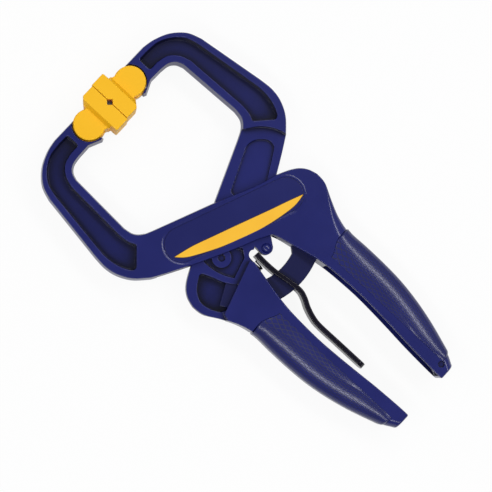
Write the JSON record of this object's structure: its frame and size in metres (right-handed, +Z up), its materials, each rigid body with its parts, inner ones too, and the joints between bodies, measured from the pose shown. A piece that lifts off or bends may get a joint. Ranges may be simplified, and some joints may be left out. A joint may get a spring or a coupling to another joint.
{
  "type": "spring clamp",
  "caption": "Hand clamp with crossed arms, wide jaws, swivelling pads, and an arc bar locked by a spring-loaded release lever along one grip.",
  "frame": {"origin": "centre of the bounding box's underside: the plane the clamp lies on, under the middle of its length", "axes": "+X along the centreline toward the jaws, +Z up, square to the plates, along the pivot axis; +Y toward the jaw of the front arm and the handle with the lever"},
  "size_m": [0.2952, 0.1604, 0.03],
  "materials": {
    "arm_resin": "navy-blue moulded resin with a soft sheen",
    "grip_rubber": "navy-blue rubber with a fine knurl",
    "pad_resin": "warm yellow moulded pads",
    "bar_steel": "smooth bar coated dark blue",
    "black_steel": "blackened strip and wire, glossy",
    "rivet_steel": "plain steel",
    "label_film": "dark blue film with a plain yellow lens-shaped stripe, no lettering"
  },
  "bodies": {
    "front_half": {"front_arm": "arm_resin", "front_grip": "grip_rubber", "arc_bar": "bar_steel", "label_plate": "label_film", "pivot_rivet": "rivet_steel", "pivot_bush": "rivet_steel"},
    "back_half": {"back_arm": "arm_resin", "back_grip": "grip_rubber", "opening_spring": "black_steel", "lever_spring": "black_steel"},
    "lever": {"release_lever": "black_steel"},
    "front_jaw_pad": {"front_pad": "pad_resin"},
    "back_jaw_pad": {"back_pad": "pad_resin"}
  },
  "joints": [
    {"name": "jaw_pivot", "type": "hinge", "parent": "front_half", "child": "back_half", "pos_m": [0.0145, 0, 0.015], "axis": [0, 0, -1], "range_deg": [0, 42], "deforming": ["opening_spring"]},
    {"name": "lever_hinge", "type": "hinge", "parent": "back_half", "child": "lever", "pos_m": [-0.005, 0.0063, 0.015], "axis": [0, 0, -1], "range_deg": [0, 7], "stiffness_Nm_per_rad": 0.6, "springref_deg": -5.73, "deforming": ["lever_spring"]},
    {"name": "front_pad_swivel", "type": "hinge", "parent": "front_half", "child": "front_jaw_pad", "pos_m": [0.1317, 0.0192, 0.015], "axis": [0, 0, -1], "range_deg": [0, 21]},
    {"name": "back_pad_swivel", "type": "hinge", "parent": "back_half", "child": "back_jaw_pad", "pos_m": [0.1317, -0.0192, 0.015], "axis": [0, 0, 1], "range_deg": [0, 21]}
  ],
  "couplings": [
    {"joint": "front_pad_swivel", "follows": "jaw_pivot", "ratio": 0.5},
    {"joint": "back_pad_swivel", "follows": "jaw_pivot", "ratio": 0.5}
  ]
}
